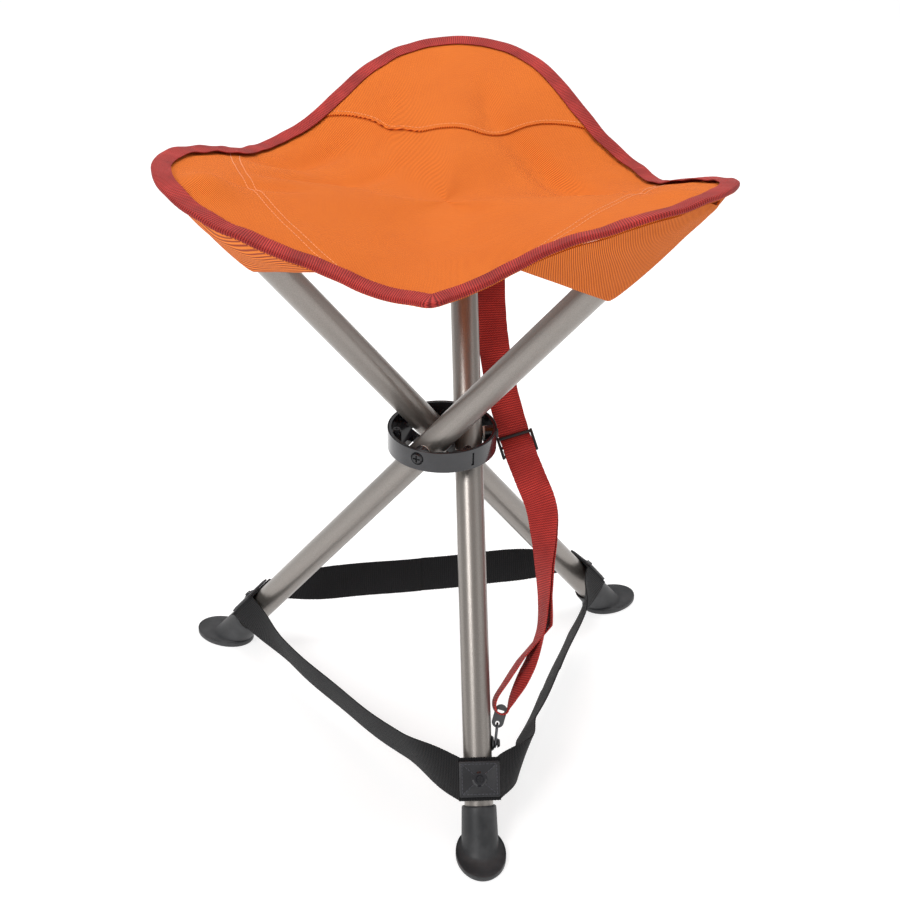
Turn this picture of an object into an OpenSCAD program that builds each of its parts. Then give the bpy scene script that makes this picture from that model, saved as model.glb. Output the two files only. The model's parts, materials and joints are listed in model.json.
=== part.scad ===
// Folding stool on three tubular legs: a moulded hub with three crossed legs that turn on radial screws,
// a three-cornered cloth seat, a webbing stretcher round the feet and a carry strap along one leg.
// The floor is z = 0, the stool opens upwards, and the three legs repeat every 120 degrees.

/* [Legs] */
// Outer diameter of a leg tube
tube_d = 22.2; // [20:0.1:24]
// Wall of a leg tube
tube_wall = 1.2; // [0.8:0.1:2]
// Tilt of an open leg from the vertical, in degrees
leg_tilt = 38.4; // [34:0.1:42]
// Distance of each leg's axis from the stool's axis
leg_offset = 20.8; // [20.6:0.1:21.4]
// Tube length above its pivot
tube_up = 294; // [270:1:296]
// Tube length below its pivot
tube_down = 303; // [300:1:305]
// Height of the leg pivots above the floor
pivot_h = 253; // [252:0.5:256]

/* [Hub] */
// Outer diameter of the hub ring
hub_d = 86.7; // [86:0.1:90]
// Height of the hub ring
hub_h = 17; // [16:0.5:20]
// Wall of the hub ring
hub_wall = 3; // [2.5:0.5:4]
// How far the ring's middle lies below the pivots
hub_drop = 1.5; // [0:0.5:2]
// Diameter of a leg's pivot screw
pivot_d = 5; // [4:0.5:6]
// Radial clearance of a pivot screw in its tube
pivot_play = 0.05; // [0.02:0.01:0.1]

/* [Seat] */
// Radius from the stool's axis to a seat corner
corner_r = 220; // [210:1:225]
// Radius from the stool's axis to the middle of a seat edge
edge_r = 175; // [165:1:185]
// Height of a seat corner above the pivots
corner_z = 254; // [250:1:258]
// Height of the middle of a seat edge above the pivots
edge_z = 199; // [190:1:210]
// Height of the seat's centre above the pivots
centre_z = 196; // [190:1:200]
// How much lower the edge lies on one flank of each corner than on the other
hem_lean = 5; // [0:0.5:6]
// Thickness of the doubled seat cloth
cloth_t = 2; // [1.5:0.5:3]
// Radial width of the bound edge that stands past the cloth
binding_w = 3; // [2:0.5:4]
// Distance of a pocket's mouth from the pivot, along the leg
pocket_s = 213; // [205:1:220]
// Half of the corner's angle, seen from the stool's axis, that a pocket spans at its mouth
pocket_half = 41; // [36:1:44]
// Thickness of a pocket's cloth
pocket_t = 1.5; // [1:0.1:2]

/* [Feet] */
// Outer diameter of the boot's sleeve
boot_d = 26.6; // [26:0.1:30]
// Distance of the boot's top edge from the pivot, along the leg
boot_top = 289; // [280:1:292]
// Width of the sole across the leg
sole_w = 38; // [34:1:40]
// Length of the sole along the leg's lean
sole_l = 54; // [50:1:58]
// Thickness of the sole's rim
sole_t = 3; // [2:0.5:5]

/* [Webbing] */
// Width of the stretcher webbing
stretcher_w = 32; // [28:1:34]
// Thickness of the stretcher webbing
stretcher_t = 1.8; // [1.5:0.1:2.5]
// Distance from the pivot to the stretcher's screws, along the leg
stretcher_s = 268; // [262:1:270]
// Width of the sewn patch that holds the stretcher on a leg
patch_w = 31; // [28:1:34]
// Height of that patch along the leg
patch_h = 27; // [24:1:28]
// Width of the carry strap
carry_w = 25; // [20:1:28]
// Thickness of the carry strap
carry_t = 1.6; // [1.2:0.1:2.5]

/* [Hidden] */
$fn = 96;
// Place of the stool's axis, which centres its outline on the origin
stool_x = 10.4;
stool_y = 6.2;
tube_r = tube_d / 2;
ring_r = hub_d / 2;
ring_in = ring_r - hub_wall;
ring_top = hub_h / 2 - hub_drop;
ring_bottom = ring_top - hub_h;
spider_top = -2;
spider_bottom = -8;
spider_r = ring_in - 0.2;
gap = 0.3;
post_r = leg_offset - tube_r - gap;
washer_t = 1.5;
washer_x = leg_offset + tube_r + gap;
boss_x = washer_x + washer_t;
boss_d = 13;
washer_d = 12;
head_d = 10;
head_h = 2.6;
head_seat = ring_r - 1.4;
screw_tip = 4;
lug_r = 36;
lug_d = 7.4;
small_screw_d = 3;
small_head_d = 5.6;
small_head_h = 1.8;
fixing_d = 4;
fixing_play = 0.05;
cap_t = 2;
cap_plug = 14;
sole_out = 5;
corner_turn = atan2(tube_up * sin(leg_tilt), leg_offset);
foot_t = pivot_h * tan(leg_tilt) + sole_out;
panel_rings = 9;
panel_steps = 30;
run_steps = 10;
seat_screw_s = 274;
pocket_rows = 8;
pocket_r = tube_r + 1.2;
pocket_end = 320;
pocket_tip_r = 3;
web_y = tube_r + 0.2;
patch_t = 1.6;
patch_play = 1.6;
pocket_drop = cloth_t + 2.4;
pocket_tip_half = 2.5;
pocket_hem = 0.955;
run_sag = [16, 1, 14];
anchor_s = 242;
// Places along a leg, and turns about it, of the screws that hold its pocket and its patch
soft_screws = [[seat_screw_s, 90], [-stretcher_s, -90]];

// ---------- places ----------

module at_hub() translate([stool_x, stool_y, pivot_h]) children();

// Turns its children to leg k; +X there is the pivot's direction away from the stool's axis.
module at_side(k) at_hub() rotate([0, 0, -120 * (k - 1)]) children();

// The leg's own frame: +Z runs up the tube from the pivot, and +X along the pivot screw.
module at_leg(k) at_side(k) translate([leg_offset, 0, 0]) rotate([-leg_tilt, 0, 0]) children();

// A cylinder along +X between two values of x
module rod_x(x1, x2, d) translate([x1, 0, 0]) rotate([0, 90, 0]) cylinder(h = x2 - x1, d = d);

// A cross-shaped driver recess, cut down from z = 0
module cross_recess(size, depth) {
    for (a = [0, 90]) rotate([0, 0, a])
        translate([-size / 2, -size / 9, -depth]) cube([size, size / 4.5, depth + 1]);
}

// A solid between two matching grids of points, the first below the second, each of rows of n points
module slab(lower, upper, n) {
    m = len(lower);
    rows = m / n;
    rim = concat([for (j = [0 : n - 1]) j], [for (i = [1 : rows - 1]) i * n + n - 1],
                 [for (j = [n - 2 : -1 : 0]) (rows - 1) * n + j], [for (i = [rows - 2 : -1 : 1]) i * n]);
    top = [for (i = [0 : rows - 2], j = [0 : n - 2]) let (a = m + i * n + j)
           each [[a, a + n, a + 1], [a + 1, a + n, a + n + 1]]];
    bottom = [for (i = [0 : rows - 2], j = [0 : n - 2]) let (a = i * n + j)
              each [[a, a + 1, a + n], [a + 1, a + n + 1, a + n]]];
    count = len(rim);
    side = [for (i = [0 : count - 1]) let (a = rim[i], b = rim[(i + 1) % count])
            each [[a, m + a, b], [b, m + a, m + b]]];
    polyhedron(points = concat(lower, upper), faces = concat(top, bottom, side));
}

// A flat band along a route, with its width direction given at each point
function unit(v) = v / norm(v);
function along(route, i) = unit(route[min(i + 1, len(route) - 1)] - route[max(i - 1, 0)]);
module band(route, across, width, thick) {
    normal = [for (i = [0 : len(route) - 1]) unit(cross(along(route, i), across[i]))];
    edge = function (side) [for (i = [0 : len(route) - 1], e = [-0.5, 0.5])
        route[i] + e * width * across[i] + side * thick / 2 * normal[i]];
    slab(edge(1), edge(-1), 2);
}

// ---------- hub ----------

module hub_ring() color([0.05, 0.05, 0.06]) {
    at_hub() difference() {
        union() {
            difference() {
                rotate_extrude() difference() {
                    translate([ring_in, ring_bottom]) square([hub_wall, hub_h]);
                    translate([ring_r - 0.8, ring_top - 0.8]) rotate([0, 0, 45]) square([2, 0.8]);
                }
                for (k = [1 : 3]) rotate([0, 0, -120 * k + 180])
                    translate([ring_r - 1.2, -1.25, ring_bottom + 3]) cube([3, 2.5, hub_h - 6]);
            }
            for (k = [1 : 3]) rotate([0, 0, -120 * k]) intersection() {
                rod_x(boss_x, ring_r - 1, boss_d);
                translate([0, 0, ring_bottom]) cylinder(h = hub_h, r = ring_in + 1);
            }
            rotate_extrude() translate([spider_r - 2, ring_bottom])
                square([3, spider_bottom - ring_bottom]);
        }
        for (k = [1 : 3]) rotate([0, 0, -120 * k]) {
            rod_x(boss_x - 1, ring_r + 1, pivot_d);
            rod_x(head_seat, ring_r + 1, head_d + 1);
        }
    }
}

module leg_slot() {
    lean = tan(leg_tilt);
    half = tube_r / cos(leg_tilt) + 1;
    slot_low = spider_bottom * lean - half;
    slot_high = max(spider_top * lean + half, tube_r + 1);
    translate([leg_offset - tube_r - gap, slot_low, spider_bottom - 5])
        cube([2 * tube_r + 2 * gap, slot_high - slot_low, 20]);
}

module hub_spider() color([0.07, 0.07, 0.08]) {
    at_hub() difference() {
        union() {
            translate([0, 0, spider_bottom]) cylinder(h = spider_top - spider_bottom, r = spider_r);
            translate([0, 0, spider_bottom]) cylinder(h = ring_top - 2 - spider_bottom, r = post_r);
            for (k = [1 : 3]) rotate([0, 0, -120 * k + 180])
                translate([lug_r, 0, spider_bottom]) cylinder(h = ring_top - 3 - spider_bottom, d = lug_d);
        }
        for (k = [1 : 3]) rotate([0, 0, -120 * k]) {
            leg_slot();
            rod_x(screw_tip - gap, leg_offset, pivot_d + 2 * pivot_play);
            translate([washer_x - 1, -boss_d / 2 - gap, spider_bottom - 1])
                cube([20, boss_d + 2 * gap, 20]);
        }
        for (k = [1 : 3]) rotate([0, 0, -120 * k + 180])
            translate([lug_r, 0, spider_bottom + 1]) cylinder(h = hub_h, d = small_screw_d);
    }
}

module hub_spider_screws() color([0.62, 0.62, 0.64]) {
    at_hub() for (k = [1 : 3]) rotate([0, 0, -120 * k + 180]) translate([lug_r, 0, ring_top - 3])
      difference() {
        union() {
            cylinder(h = small_head_h, d = small_head_d);
            translate([0, 0, spider_bottom + 4 - ring_top])
                cylinder(h = ring_top - 3.5 - spider_bottom, d = small_screw_d);
        }
        translate([0, 0, small_head_h]) cross_recess(3.6, 1.1);
    }
}

module pivot_screws() color([0.6, 0.6, 0.62]) {
    at_hub() for (k = [1 : 3]) rotate([0, 0, -120 * k]) {
        rod_x(screw_tip, head_seat + 0.5, pivot_d);
        translate([head_seat, 0, 0]) rotate([0, 90, 0]) difference() {
            cylinder(h = head_h, d1 = head_d, d2 = head_d - 2.4);
            translate([0, 0, head_h]) cross_recess(6, 1.6);
        }
    }
}

module pivot_washers() color([0.85, 0.85, 0.82]) {
    at_hub() for (k = [1 : 3]) rotate([0, 0, -120 * k]) difference() {
        rod_x(washer_x, washer_x + washer_t, washer_d);
        rod_x(washer_x - 1, washer_x + washer_t + 1, pivot_d);
    }
}

// ---------- legs ----------

// A leg tube with its pivot hole and the holes of the screws that are named: each is its place along
// the leg and its turn about it from the pivot's direction
module leg_tube(screws) color([0.55, 0.53, 0.5]) difference() {
    translate([0, 0, -tube_down]) cylinder(h = tube_down + tube_up, d = tube_d);
    translate([0, 0, -tube_down - 1]) cylinder(h = tube_down + tube_up + 2, d = tube_d - 2 * tube_wall);
    rod_x(-tube_d, tube_d, pivot_d + 2 * pivot_play);
    for (hole = screws) translate([0, 0, hole[0]]) rotate([0, 0, hole[1]])
        rod_x(0, tube_d, fixing_d + 2 * fixing_play);
}

module foot_outline() {
    for (side = [-1, 1]) translate([0, side * (sole_l - sole_w) / 2]) circle(d = sole_w);
    square([sole_w, sole_l - sole_w], center = true);
}

// A foot in its own place: the sleeve leans with the tube, and the sole lies on the floor.
module foot(k) color([0.2, 0.2, 0.21]) difference() {
    union() {
        intersection() {
            at_leg(k) union() {
                translate([0, 0, -boot_top - 24]) cylinder(h = 24, d1 = boot_d + 2.2, d2 = boot_d);
                translate([0, 0, -boot_top - 50]) cylinder(h = 26.2, d = boot_d + 2.2);
            }
            translate([-400, -400, 0]) cube([800, 800, 100]);
        }
        at_side(k) translate([leg_offset, -foot_t, -pivot_h]) linear_extrude(sole_t) foot_outline();
        at_side(k) intersection() {
            translate([leg_offset, -foot_t, -pivot_h]) cylinder(h = 12, d1 = sole_w, d2 = boot_d);
            translate([-400, -400, -pivot_h]) cube([800, 800, 12]);
        }
    }
    at_leg(k) translate([0, 0, -tube_down]) cylinder(h = tube_down, d = tube_d);
}

module end_cap() color([0.08, 0.08, 0.09]) {
    translate([0, 0, tube_up]) cylinder(h = cap_t, d = tube_d);
    translate([0, 0, tube_up - cap_plug]) cylinder(h = cap_plug, d = tube_d - 2 * tube_wall);
}

// ---------- seat ----------

// Radius and height of the seat's edge at an angle from a corner
function bend(a) = (1 + cos(3 * a)) / 2;
function hem_r(a) = edge_r + (corner_r - edge_r) * pow(bend(a), 1.25);
function hem_z(a) = edge_z + (corner_z - edge_z) * bend(a) - hem_lean * sin(3 * a);
// Height of the seat's top at a share q of the way from the centre to the edge
function seat_z(a, q) = centre_z + (hem_z(a) - centre_z) * pow(q, 1 + 0.9 * (1 - bend(a)));
function seat_point(a, q, down) = [q * hem_r(a) * cos(a), q * hem_r(a) * sin(a), seat_z(a, q) - down];

// The third of the seat that belongs to corner k, between two shares of the radius
module seat_third(q1, q2, rings, up, down) {
    angles = [for (j = [0 : panel_steps]) -60 + 120 * j / panel_steps];
    shares = [for (i = [0 : rings]) q1 + (q2 - q1) * i / rings];
    grid = function (d) [for (q = shares, a = angles) seat_point(a, q, d)];
    slab(grid(down), grid(-up), panel_steps + 1);
}

module at_corner(k) at_side(k) rotate([0, 0, corner_turn]) translate([gap, 0, 0]) children();

module seat_panel(k) color([0.93, 0.47, 0.2]) at_corner(k)
    seat_third(0.012, 1 - binding_w / edge_r, panel_rings, 0, cloth_t);

module seat_binding(k) color([0.75, 0.2, 0.18]) at_corner(k)
    seat_third(1 - binding_w / edge_r, 1, 1, 0.8, cloth_t + 0.8);

// The second layer of cloth on the back corner
module back_flap() color([0.93, 0.47, 0.2]) at_corner(1) {
    flap_half = 30;
    angles = [for (j = [0 : 12]) -flap_half + 2 * flap_half * j / 12];
    inner = function (a) 0.56 * edge_r / hem_r(a) / cos(a);
    shares = [for (i = [0 : 5]) i / 5];
    grid = function (d) [for (s = shares, a = angles) seat_point(a, inner(a) + (0.975 - inner(a)) * s, d)];
    slab(grid(-0.2), grid(-1.4), 13);
}

// A place in the frame of a leg's side, from its place in the leg's own frame, and back
function leg_point(p) = [leg_offset + p[0], p[1] * cos(leg_tilt) + p[2] * sin(leg_tilt),
                         p[2] * cos(leg_tilt) - p[1] * sin(leg_tilt)];
function in_leg(p) = [p[0] - leg_offset, p[1] * cos(leg_tilt) - p[2] * sin(leg_tilt),
                      p[1] * sin(leg_tilt) + p[2] * cos(leg_tilt)];
function spun(p, a) = [p[0] * cos(a) - p[1] * sin(a), p[0] * sin(a) + p[1] * cos(a), p[2]];
function mix(p, q, share) = p + (q - p) * share;

// The pocket's cloth runs from the seat's edge, round the tube's underside, to the edge on the other side.
// A row lies at a share w of the way from the mouth to the corner, with its cloth moved outwards by out.
function keel_r(w) = let (past = pocket_s + (pocket_end - pocket_s) * w - tube_up - cap_t)
    past < 0 ? pocket_r : mix(pocket_r, pocket_tip_r, past / (pocket_end - tube_up - cap_t));
function pocket_edge(w, side, out) =
    in_leg(spun(seat_point(side * mix(pocket_half, pocket_tip_half, w), pocket_hem, pocket_drop + out),
                corner_turn));
function pocket_row(w, out) = let (
    s = pocket_s + (pocket_end - pocket_s) * w,
    r = keel_r(w) + out,
    centre = [0, pocket_r - keel_r(w), s],
    right = pocket_edge(w, -1, out),
    left = pocket_edge(w, 1, out),
    to_right = right - centre,
    to_left = left - centre,
    start = atan2(to_right[1], to_right[0]) + acos(r / norm([to_right[0], to_right[1]])),
    turn = (atan2(to_left[1], to_left[0]) + 360) % 360 - acos(r / norm([to_left[0], to_left[1]])) - start,
    arc = [for (i = [0 : 4]) centre + r * [cos(start + turn * i / 4), sin(start + turn * i / 4), 0]])
    concat([for (i = [0 : 2]) mix(right, arc[0], i / 3)], arc, [for (i = [1 : 3]) mix(arc[4], left, i / 3)]);

module seat_pocket(k) color([0.85, 0.38, 0.16]) difference() {
    grid = function (out) [for (i = [0 : pocket_rows], p = pocket_row(i / pocket_rows, out)) leg_point(p)];
    at_side(k) slab(grid(pocket_t), grid(0), 11);
    at_leg(k) translate([0, tube_r, seat_screw_s]) rotate([-90, 0, 0]) cylinder(h = 10, d = fixing_d);
}

module seat_screw() color([0.6, 0.6, 0.62]) translate([0, 0, seat_screw_s]) rotate([-90, 0, 0]) {
    inner = tube_r - tube_wall - 2;
    outer = pocket_r + pocket_t;
    translate([0, 0, outer]) cylinder(h = 1.6, d1 = 8, d2 = 6);
    translate([0, 0, inner]) cylinder(h = outer - inner + 0.1, d = fixing_d);
}

// ---------- stretcher ----------

// The sewn patch on a leg: a flat plate over the stretch of webbing that lies on the tube
module stretcher_patch() color([0.05, 0.05, 0.05]) translate([0, 0, -stretcher_s]) difference() {
    union() {
        translate([-patch_w / 2, -web_y - stretcher_t, -stretcher_w / 2])
            cube([patch_w, stretcher_t, stretcher_w]);
        translate([-patch_w / 2, -web_y - stretcher_t - patch_t, -patch_h / 2])
            cube([patch_w, patch_t + 0.1, patch_h]);
    }
    rotate([90, 0, 0]) cylinder(h = 2 * tube_d, d = fixing_d);
}

module stretcher_screw() color([0.68, 0.68, 0.66]) {
    face = web_y + stretcher_t + patch_t;
    inner = tube_r - tube_wall - 3;
    translate([0, 0, -stretcher_s]) rotate([90, 0, 0]) {
        translate([0, 0, face]) difference() {
            union() {
                cylinder(h = 1.4, d1 = 12, d2 = 9);
                cylinder(h = 2.8, d1 = 7.4, d2 = 5);
            }
            translate([0, 0, 2.8]) cross_recess(4, 1.2);
        }
        translate([0, 0, inner]) cylinder(h = face - inner + 0.1, d = fixing_d);
    }
}

// One half of a stretcher run, from the patch on its own leg to the middle of the run.
// way is -1 for the half that leaves towards the stool's axis and 1 for the one on the pivot's side.
function patch_edge(way) =
    leg_point([way * (patch_w / 2 + patch_play), -web_y - stretcher_t / 2, -stretcher_s]);
module stretcher_half(k, way) color([0.06, 0.06, 0.07]) at_side(k) {
    sag = run_sag[way < 0 ? k - 1 : (k + 1) % 3];
    here = patch_edge(way);
    there = spun(patch_edge(-way), way * 120);
    shares = [for (i = [0 : run_steps]) 0.499 * i / run_steps];
    tube_way = [0, sin(leg_tilt), cos(leg_tilt)];
    band([for (t = shares) mix(here, there, t) - [0, 0, sag * 4 * t * (1 - t)]],
         [for (t = shares) unit(mix(tube_way, [0, 0, 1], min(1, t / 0.3)))], stretcher_w, stretcher_t);
}

// ---------- carry strap ----------

// The route in the first leg's frame: off the leg, towards or away from its back, and along it
carry_route = [[17, 17, 262], [20, 17, 235], [22, 18, 190], [23, 21, 145], [23, 23, 107], [25, 23, 75],
               [31, 22, 35], [41, 20, -6], [50, 18, -33], [58, 16, -57], [59, 14, -80], [58, 13, -105],
               [57, 11, -130], [54, 8, -153], [45, 4, -177], [34, 2, -195], [21, 0, -212]];
// Turn of the strap's width about its route at each of those points, in degrees
carry_turn = [0, 0, 0, 0, 0, 0, 0, 0, 5, 20, 45, 65, 75, 80, 70, 40, 10];
slider_place = carry_route[7];
slider_lean = atan2(carry_route[8][0] - carry_route[6][0], carry_route[6][2] - carry_route[8][2]);
slider_w = 32;
slider_h = 12;
slider_t = 4.6;
clip_r = 4.6;
clip_reach = 9.2;
clip_t = 3;
clip_hole = 3.6;
clip_place = [16.1, 0, -227];
clip_lean = 18;
link_r = 3.2;
link_wire = 0.8;
link_reach = 12;
link_lean = 8;
link_x = 14;

function carry_across() = [for (i = [0 : len(carry_route) - 1]) let (
    t = along(carry_route, i),
    flat = unit(cross(t, cross([1, 0, 0], t))),
    a = carry_turn[i]) flat * cos(a) + cross(t, flat) * sin(a)];

module carry_strap() color([0.72, 0.2, 0.18]) band(carry_route, carry_across(), carry_w, carry_t);

// The short tab that ties the strap's upper end to the pocket and the tube
module carry_strap_tab() color([0.72, 0.2, 0.18])
    translate(carry_route[0] - [carry_w / 2, 1.5, -1.5]) cube([carry_w, 3, 13]);

module strap_slider() color([0.05, 0.05, 0.06])
    translate(slider_place) rotate([0, -slider_lean, 0]) difference() {
        cube([slider_w, slider_t, slider_h], center = true);
        cube([carry_w + 1, carry_t + 1.4, slider_h + 2], center = true);
    }

// The clip's slot takes the strap, and its lower hole takes the link
module strap_clip() color([0.25, 0.25, 0.26]) translate(clip_place) rotate([0, clip_lean, 0]) difference() {
    hull() for (z = [clip_r - clip_hole + 0.2, clip_r - clip_hole + 0.2 + clip_reach])
        translate([0, 0, z]) rotate([90, 0, 0]) cylinder(h = clip_t, r = clip_r, center = true, $fn = 32);
    rotate([90, 0, 0]) cylinder(h = clip_t + 2, d = clip_hole, center = true);
    translate([0, 0, clip_reach]) cube([5.4, clip_t + 2, 2.4], center = true);
}

// The oval link joins the clip's hole to the screw on the leg
module strap_ring() color([0.7, 0.7, 0.68]) translate([link_x, 0, -anchor_s]) rotate([0, link_lean, 0])
    rotate([90, 0, 90]) {
        for (end = [0, 1]) translate([0, end * link_reach, 0]) rotate([0, 0, end * 180])
            rotate_extrude(angle = -180) translate([link_r, 0]) circle(r = link_wire, $fn = 24);
        for (side = [-1, 1]) translate([side * link_r, 0, 0]) rotate([-90, 0, 0])
            cylinder(h = link_reach, r = link_wire, $fn = 24);
    }

module strap_anchor_screw() color([0.68, 0.68, 0.66]) translate([0, 0, -anchor_s]) {
    head_x = link_x + 1.5;
    rod_x(tube_r - tube_wall - 2, head_x + 0.1, fixing_d);
    translate([tube_r, 0, 0]) rotate([0, 90, 0]) cylinder(h = 1.6, d1 = 12, d2 = 10);
    translate([head_x, 0, 0]) rotate([0, 90, 0]) difference() {
        cylinder(h = 2, d1 = 7.6, d2 = 5.4);
        translate([0, 0, 2]) cross_recess(4, 1.2);
    }
}

hub_ring();
hub_spider();
hub_spider_screws();
pivot_screws();
pivot_washers();
at_leg(1) leg_tube(concat(soft_screws, [[-anchor_s, 0]]));  // leg_1_tube
at_leg(2) leg_tube(soft_screws);  // leg_2_tube
at_leg(3) leg_tube(soft_screws);  // leg_3_tube
foot(1);  // leg_1_foot
foot(2);  // leg_2_foot
foot(3);  // leg_3_foot
at_leg(1) end_cap();  // leg_1_end_cap
at_leg(2) end_cap();  // leg_2_end_cap
at_leg(3) end_cap();  // leg_3_end_cap
seat_pocket(1);  // seat_pocket_1
seat_pocket(2);  // seat_pocket_2
seat_pocket(3);  // seat_pocket_3
at_leg(1) seat_screw();  // seat_screw_1
at_leg(2) seat_screw();  // seat_screw_2
at_leg(3) seat_screw();  // seat_screw_3
seat_panel(1);  // seat_panel_1
seat_panel(2);  // seat_panel_2
seat_panel(3);  // seat_panel_3
seat_binding(1);  // seat_binding_1
seat_binding(2);  // seat_binding_2
seat_binding(3);  // seat_binding_3
back_flap();
at_leg(1) stretcher_patch();  // stretcher_patch_1
at_leg(2) stretcher_patch();  // stretcher_patch_2
at_leg(3) stretcher_patch();  // stretcher_patch_3
at_leg(1) stretcher_screw();  // stretcher_screw_1
at_leg(2) stretcher_screw();  // stretcher_screw_2
at_leg(3) stretcher_screw();  // stretcher_screw_3
stretcher_half(1, -1);  // stretcher_1_left
stretcher_half(1, 1);  // stretcher_1_right
stretcher_half(2, -1);  // stretcher_2_left
stretcher_half(2, 1);  // stretcher_2_right
stretcher_half(3, -1);  // stretcher_3_left
stretcher_half(3, 1);  // stretcher_3_right
at_leg(1) carry_strap();
at_leg(1) carry_strap_tab();
at_leg(1) strap_slider();
at_leg(1) strap_clip();
at_leg(1) strap_ring();
at_leg(1) strap_anchor_screw();
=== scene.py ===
import json
import math

import bpy
import bmesh
from mathutils import Matrix, Vector, noise


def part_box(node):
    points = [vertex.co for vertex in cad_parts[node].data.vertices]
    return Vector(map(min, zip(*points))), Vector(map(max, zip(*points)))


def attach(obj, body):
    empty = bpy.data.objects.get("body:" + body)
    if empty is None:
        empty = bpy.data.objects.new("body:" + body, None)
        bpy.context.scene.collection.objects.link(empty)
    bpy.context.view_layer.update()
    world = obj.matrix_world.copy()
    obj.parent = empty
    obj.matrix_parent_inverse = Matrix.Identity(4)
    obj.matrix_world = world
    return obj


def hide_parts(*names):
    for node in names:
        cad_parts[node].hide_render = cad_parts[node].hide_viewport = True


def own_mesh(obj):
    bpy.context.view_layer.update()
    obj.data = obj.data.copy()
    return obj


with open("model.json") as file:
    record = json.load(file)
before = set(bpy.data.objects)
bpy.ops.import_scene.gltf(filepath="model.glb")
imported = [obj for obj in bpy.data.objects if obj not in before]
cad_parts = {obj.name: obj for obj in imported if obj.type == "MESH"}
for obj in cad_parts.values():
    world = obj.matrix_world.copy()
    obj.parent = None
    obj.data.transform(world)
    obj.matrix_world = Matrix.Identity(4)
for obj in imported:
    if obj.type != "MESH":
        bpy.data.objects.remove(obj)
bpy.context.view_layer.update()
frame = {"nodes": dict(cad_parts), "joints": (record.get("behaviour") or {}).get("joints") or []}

# ---------- the frame's own places, in metres ----------

MM = 0.001
SIDES = (1, 2, 3)
UP = Vector((0, 0, 1))
joints = {j["name"]: j for j in frame["joints"]}
pivot = {k: Vector(joints[f"leg_{k}_fold"]["pos_m"]) for k in SIDES}
outward = {k: Vector(joints[f"leg_{k}_fold"]["axis"]).normalized() for k in SIDES}
tip = {k: Vector(joints[f"seat_{k}_fall"]["pos_m"]) for k in SIDES}
hub = sum(pivot.values(), Vector()) / len(SIDES)
fold_angle = math.radians(joints["leg_1_fold"]["range_deg"][1])
tube_low, tube_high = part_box("leg_1_tube")
TUBE_R = (tube_high.x - tube_low.x) / 2
LEG_OFFSET = (pivot[1] - hub).length
TIP_S = (tip[1] - pivot[1]).length


def axes_matrix(x, y, z, origin):
    """The matrix of a frame with these axes and origin."""
    m = Matrix((x, y, z)).transposed().to_4x4()
    m.translation = origin
    return m


def side_frame(k):
    """Hub-centred frame of leg k: +X along its pivot screw, +Z up."""
    x = outward[k]
    return axes_matrix(x, UP.cross(x), UP, hub)


def leg_frame(k):
    """Frame of leg k's own tube: +X along its pivot screw, +Z up the tube from the pivot."""
    x = outward[k]
    lean = UP.cross(x)
    along = lean * math.sin(fold_angle) + UP * math.cos(fold_angle)
    return axes_matrix(x, along.cross(x), along, pivot[k])


def corner_frame(k):
    """Hub-centred frame with +X towards seat corner k."""
    flat = tip[k] - hub
    flat.z = 0
    x = flat.normalized()
    return axes_matrix(x, UP.cross(x), UP, hub)


# ---------- camera, floor and lights ----------

CAMERA_DISTANCE = 1.2694
CAMERA_ELEVATION = math.radians(29.56)
CAMERA_TURN = math.radians(3.85)
CAMERA_ROLL = math.radians(0.91)
CAMERA_LENS = 63.98
CAMERA_SHIFT = (0.0088, -0.0177)
LIGHT_AIM = Vector((0, 0, 0.25))
FLOOR_GLOW = 0.68
WORLD_LIGHT = 0.46


def make_camera():
    level = math.cos(CAMERA_ELEVATION)
    away = Vector((-math.sin(CAMERA_TURN) * level, -math.cos(CAMERA_TURN) * level,
                   math.sin(CAMERA_ELEVATION)))
    right = UP.cross(away).normalized()
    up = away.cross(right)
    turn = Matrix.Rotation(CAMERA_ROLL, 4, away)
    camera = bpy.data.objects.new("camera", bpy.data.cameras.new("camera"))
    bpy.context.scene.collection.objects.link(camera)
    camera.matrix_world = axes_matrix(turn @ right, turn @ up, away, hub + away * CAMERA_DISTANCE)
    camera.data.sensor_width = 36
    camera.data.lens = CAMERA_LENS
    camera.data.shift_x, camera.data.shift_y = CAMERA_SHIFT
    camera.data.clip_end = 30
    bpy.context.scene.camera = camera


def make_light(name, place, size, power):
    light = bpy.data.lights.new(name, "AREA")
    light.shape = "RECTANGLE"
    light.size, light.size_y = size
    light.energy = power
    obj = bpy.data.objects.new(name, light)
    bpy.context.scene.collection.objects.link(obj)
    obj.location = place
    obj.rotation_euler = (LIGHT_AIM - Vector(place)).to_track_quat("-Z", "Y").to_euler()


def make_studio():
    bpy.ops.mesh.primitive_plane_add(size=14, location=(0, 0, 0))
    floor = bpy.context.object
    floor.name = "floor"
    material, n = new_material("floor_paper", (0.5, 0.5, 0.5), 0.9)
    n.set("Specular IOR Level", 0.1)
    n.set("Emission Color", (1, 1, 1, 1))
    n.set("Emission Strength", FLOOR_GLOW)
    floor.data.materials.append(material)
    world = bpy.data.worlds.new("studio")
    world.use_nodes = True
    world.node_tree.nodes["Background"].inputs["Color"].default_value = (1, 1, 1, 1)
    world.node_tree.nodes["Background"].inputs["Strength"].default_value = WORLD_LIGHT
    bpy.context.scene.world = world
    bpy.context.scene.view_settings.view_transform = "Standard"
    make_light("key", (-1.3, -1.5, 1.9), (0.9, 0.9), 26)
    make_light("fill", (1.9, -1.2, 1.1), (1.4, 1.4), 4)
    make_light("top", (0.1, 0.5, 2.3), (1.3, 1.3), 34)


# ---------- materials ----------

CLOTH_UV = "cloth_m"


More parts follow.
